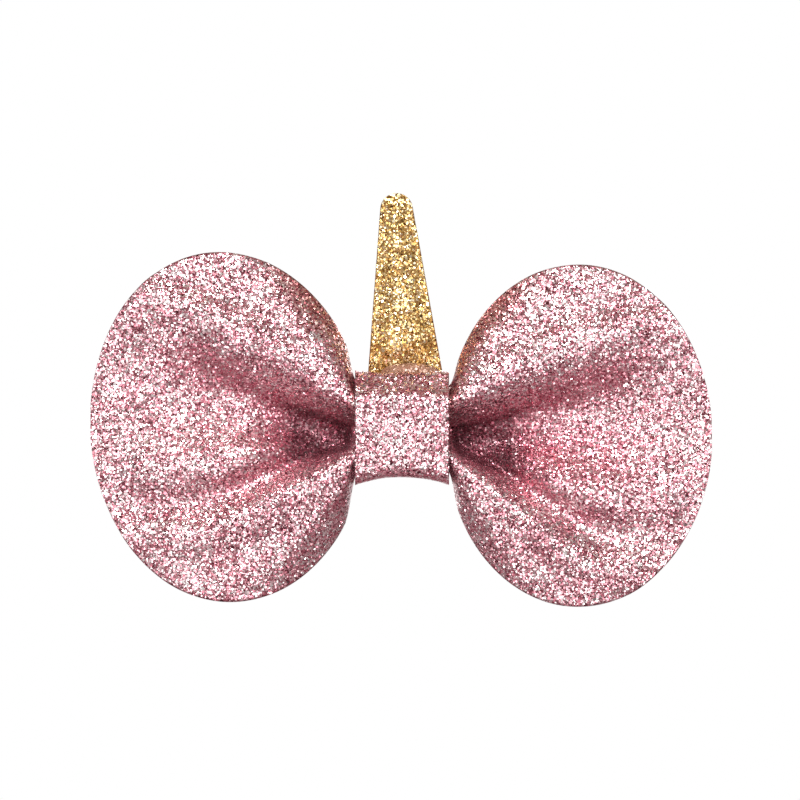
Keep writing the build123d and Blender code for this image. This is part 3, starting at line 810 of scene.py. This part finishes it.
# ---- waist thread -------------------------------------------------------------------------------
THREAD, THREAD_TURNS, THREAD_PITCH = 0.3, 9, 0.282
THREAD_CORNERS = [
    (-5.52, 0.0), (-5.52, 7.6), (-8.68, 7.6), (-11.88, 4.6), (-11.88, -5.2), (-9.08, -7.25),
    (-5.52, -7.25), (-5.52, 0.0),
]
loop = even_path(rounded_path(THREAD_CORNERS, [0.5] * 6), 90)[:-1]
loops = np.tile(loop, (THREAD_TURNS, 1))
shift = (np.arange(len(loops)) / len(loop) - THREAD_TURNS / 2) * THREAD_PITCH
thread = tube_mesh(
    "waist_thread_turns", np.column_stack([shift, loops]), THREAD / 2, [pink_thread],
    around=8, twist=0.35, ply=0.10,
)
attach(thread, "bow")
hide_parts("waist_thread")


# ---- clip ribbon --------------------------------------------------------------------------------
RIBBON, RIBBON_HALF = 0.4, 4.7
RIB_PITCH, RIB_HEIGHT = 0.62, 0.12
ribbon_path = even_path(
    rounded_path([(8.5, -1.2), (-22.2, -1.2), (-22.2, -0.2), (6.0, -0.2)], (0.3, 0.3)), 900
)
ribbon_run = np.gradient(ribbon_path, axis=0)
ribbon_run /= np.linalg.norm(ribbon_run, axis=1, keepdims=True)
ribbon_travel = np.linspace(0, path_length(ribbon_path), len(ribbon_path))
ribbon_across = np.linspace(-1, 1, 9)


def ribbon_grid(side):
    """One face of the ribbon, with its cross ribs and a smooth woven selvedge along each edge."""
    woven_share = 1 - ramp(np.abs(ribbon_across), 0.86, 0.97)[None, :]
    rib = (1 - np.abs(np.sin(PI * ribbon_travel / RIB_PITCH)))[:, None] * woven_share
    out = side * (RIBBON / 2 - RIB_HEIGHT * rib)
    x = ribbon_path[:, 0][:, None] + out * ribbon_run[:, 1][:, None]
    y = ribbon_path[:, 1][:, None] - out * ribbon_run[:, 0][:, None]
    return np.stack([x, y, ribbon_across[None, :] * RIBBON_HALF + 0 * x], axis=-1)


ribbon = sheet_mesh("clip_ribbon_strip", ribbon_grid(1), ribbon_grid(-1), [ribbon_cloth] * 3)
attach(ribbon, "bow")
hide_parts("clip_ribbon")


# ---- clip spring --------------------------------------------------------------------------------
PIVOT_X, PIVOT_Y = 9.5, 2.3
WIRE, COIL_RADIUS, COIL_TURNS, COIL_PITCH, LEG = 0.7, 1.35, 3, 0.78, 10.0
STEEL = 0.6


def leg_angle(lever_middle, slope):
    """Angle from the X axis to a spring leg whose tip rests on a lever's inner face."""
    face = abs(lever_middle - PIVOT_Y) * math.cos(slope) - STEEL / 2
    reach = face - WIRE / 2 - 0.01
    return slope + math.asin(reach / math.hypot(COIL_RADIUS, LEG)) - math.atan2(COIL_RADIUS, LEG)


lower_leg = leg_angle(4.9, math.radians(26))
upper_leg = leg_angle(-0.7, math.radians(14))
coil_turns = COIL_TURNS + (PI - lower_leg - upper_leg) / (2 * PI)
coil_turn = PI / 2 + lower_leg + np.linspace(0, 2 * PI * coil_turns, 110)
coil = np.column_stack([
    PIVOT_X + COIL_RADIUS * np.cos(coil_turn),
    PIVOT_Y + COIL_RADIUS * np.sin(coil_turn),
    np.linspace(-0.5, 0.5, len(coil_turn)) * coil_turns * COIL_PITCH,
])
leg_steps = np.linspace(1, 0, 24)[:-1, None] * LEG
climb = COIL_PITCH / (2 * PI)
leaving = [
    np.array((-COIL_RADIUS * math.sin(turn), COIL_RADIUS * math.cos(turn), climb))
    for turn in (coil_turn[0], coil_turn[-1])
]
lower_wire = coil[0] - leg_steps * leaving[0] / np.linalg.norm(leaving[0])
upper_wire = coil[-1] + leg_steps[::-1] * leaving[1] / np.linalg.norm(leaving[1])
spring = tube_mesh(
    "clip_spring_wire", np.concatenate([lower_wire, coil, upper_wire]), WIRE / 2, [wire_steel], around=14
)
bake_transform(spring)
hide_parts("clip_spring")


# ---- CAD pieces that keep their shape --------------------------------------------------------------
for node, material in {
    "clip_upper_jaw": clip_steel,
    "clip_lower_jaw": clip_steel,
    "clip_hinge_pin": clip_steel,
    "clip_glue_pad": melt_glue,
    "band_seam_glue": melt_glue,
}.items():
    for material_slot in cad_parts[node].material_slots:
        material_slot.link = "OBJECT"
        material_slot.material = material


# ---- floor, studio and camera ---------------------------------------------------------------------
FLOOR_Z, FLOOR_RADIUS, FLOOR_GLOW = -480.0, 1500.0, 0.70


def floor_material():
    """Pale matt paper with a faint mottle, lit evenly. It throws little light back up at the bow."""
    n = Nodes("pale_paper")
    cloud = n.add("TexNoise", {"Vector": n.place(), "Scale": 9.0, "Detail": 3.0})
    pale = n.mixed(cloud.outputs[0], (0.80, 0.79, 0.78, 1.0), (0.86, 0.85, 0.84, 1.0))
    seen = n.add("LightPath").outputs["Is Camera Ray"]
    tint = n.mixed(seen, (0.28, 0.17, 0.19, 1.0), pale)
    glow = n.maths("MULTIPLY", seen, FLOOR_GLOW)
    inputs = {"Base Color": tint, "Roughness": 0.9, "Emission Color": pale, "Emission Strength": glow}
    return n.finish(n.add("BsdfPrincipled", inputs))


rim = np.linspace(0, 2 * PI, 97)[:-1]
floor_points = [(FLOOR_RADIUS * math.cos(t), FLOOR_RADIUS * math.sin(t), FLOOR_Z) for t in rim]
floor = add_mesh("floor", floor_points, [list(range(len(rim)))], [floor_material()], smooth=False)


def area_light(name, place, size, power):
    """A rectangular light aimed at the origin."""
    data = bpy.data.lights.new(name, "AREA")
    data.shape, data.size, data.size_y, data.energy = "RECTANGLE", size[0], size[1], power
    light = bpy.data.objects.new(name, data)
    light.location = place
    light.rotation_euler = (-Vector(place)).to_track_quat("-Z", "Y").to_euler()
    bpy.context.scene.collection.objects.link(light)


LIGHTS = {  # place, size and power of each, all aimed at the bow
    "key_softbox": ((-0.10, -0.66, 0.50), (0.26, 0.20), 6.4),
    "front_fill": ((0.10, -0.85, -0.02), (0.7, 0.4), 2.4),
    "low_fill": ((-0.10, -0.75, -0.30), (0.6, 0.3), 1.6),
    "back_fill": ((0.25, 0.75, 0.40), (0.6, 0.5), 6.0),
    "back_strip": ((-0.60, 0.45, 0.15), (0.15, 0.6), 2.0),
    "back_wall": ((0.0, 0.90, -0.05), (1.4, 0.9), 3.0),
}
for light_name, (light_place, light_size, light_power) in LIGHTS.items():
    area_light(light_name, light_place, light_size, light_power)

# What the flakes mirror, from straight below to straight above: dim floor, paler walls, warm ceiling.
ROOM = [
    (0.00, (0.10, 0.05, 0.06)),
    (0.30, (0.22, 0.14, 0.15)),
    (0.50, (0.28, 0.24, 0.24)),
    (0.72, (0.32, 0.31, 0.31)),
    (0.86, (0.25, 0.19, 0.15)),
    (0.95, (0.28, 0.14, 0.09)),
    (1.00, (0.26, 0.11, 0.06)),
]


def studio_world():
    """The room that the flakes mirror, with plain white paper where the camera looks past the bow."""
    world = bpy.data.worlds.new("studio")
    world.use_nodes = True
    tree = world.node_tree
    tree.nodes.clear()
    direction = tree.nodes.new("ShaderNodeTexCoord")
    parts = tree.nodes.new("ShaderNodeSeparateXYZ")
    rise = tree.nodes.new("ShaderNodeMapRange")
    color = tree.nodes.new("ShaderNodeValToRGB")
    room = tree.nodes.new("ShaderNodeBackground")
    paper = tree.nodes.new("ShaderNodeBackground")
    ray = tree.nodes.new("ShaderNodeLightPath")
    either = tree.nodes.new("ShaderNodeMixShader")
    world_out = tree.nodes.new("ShaderNodeOutputWorld")
    rise.inputs["From Min"].default_value = -1.0
    paper.inputs["Color"].default_value = (1.0, 1.0, 1.0, 1.0)
    while len(color.color_ramp.elements) < len(ROOM):
        color.color_ramp.elements.new(0.5)
    for element, (position, stop) in zip(color.color_ramp.elements, ROOM):
        element.position = position
        element.color = (*stop, 1.0)
    tree.links.new(direction.outputs["Generated"], parts.inputs[0])
    tree.links.new(parts.outputs["Z"], rise.inputs["Value"])
    tree.links.new(rise.outputs[0], color.inputs[0])
    tree.links.new(color.outputs[0], room.inputs["Color"])
    tree.links.new(ray.outputs["Is Camera Ray"], either.inputs[0])
    tree.links.new(room.outputs[0], either.inputs[1])
    tree.links.new(paper.outputs[0], either.inputs[2])
    tree.links.new(either.outputs[0], world_out.inputs[0])
    return world


bpy.context.scene.world = studio_world()
bpy.context.scene.view_settings.view_transform = "Standard"

CAMERA_X, CAMERA_Z = -0.00033, 0.00443
CAMERA_DISTANCE, FRAME_WIDTH = 0.9, 0.1312
BOW_FRONT = -0.010  # Y of the plane that fills the frame's width
camera_data = bpy.data.cameras.new("camera")
camera_data.sensor_width = 36.0
camera_data.lens = camera_data.sensor_width * CAMERA_DISTANCE / FRAME_WIDTH
camera = bpy.data.objects.new("camera", camera_data)
camera.location = (CAMERA_X, BOW_FRONT - CAMERA_DISTANCE, CAMERA_Z)
camera.rotation_euler = (PI / 2, 0, 0)
bpy.context.scene.collection.objects.link(camera)
bpy.context.scene.camera = camera
